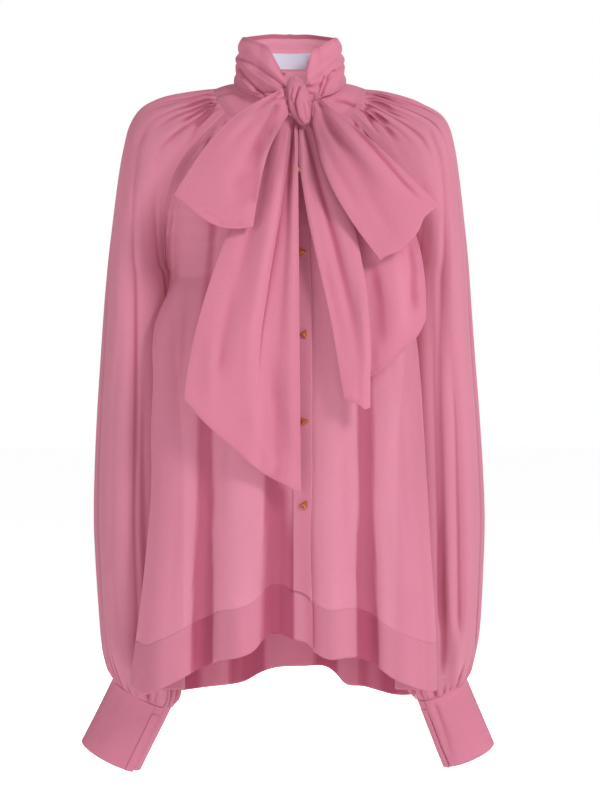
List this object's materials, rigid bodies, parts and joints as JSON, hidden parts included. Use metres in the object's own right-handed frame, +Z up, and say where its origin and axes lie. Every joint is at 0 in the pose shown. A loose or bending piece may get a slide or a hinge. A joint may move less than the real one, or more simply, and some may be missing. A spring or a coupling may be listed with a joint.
{
  "type": "tie neck blouse",
  "caption": "Long-sleeved raglan blouse in sheer crepe, gathered into a round yoke, with a scarf collar tied in a bow.",
  "frame": {"origin": "between the shoulders at the base of the neck, in the middle of the wearer's body, where the worn blouse is carried", "axes": "+Z up, towards the wearer's head; the front of the blouse and its bow face -Y; +X is the wearer's left"},
  "size_m": [0.5, 0.2766, 0.8997],
  "materials": {
    "crepe": "sheer matte crepe, dusty rose",
    "crepe_double": "the same crepe, double, dusty rose",
    "stud": "polished gold colour",
    "label": "woven, pale grey-blue, plain"
  },
  "bodies": {
    "root": {"front_right": "crepe", "front_left": "crepe", "back": "crepe", "sleeve_right": "crepe", "sleeve_left": "crepe", "hem_band_right": "crepe_double", "hem_band_left": "crepe_double", "hem_band_back": "crepe_double", "cuff_right": "crepe_double", "cuff_left": "crepe_double", "yoke": "crepe_double", "placket": "crepe_double", "tie_collar": "crepe_double", "knot": "crepe_double", "bow_loop_right": "crepe_double", "bow_loop_left": "crepe_double", "bow_tail_right": "crepe_double", "bow_tail_left": "crepe_double", "stud_1": "stud", "stud_2": "stud", "stud_3": "stud", "stud_4": "stud", "stud_5": "stud", "label": "label"}
  },
  "joints": []
}
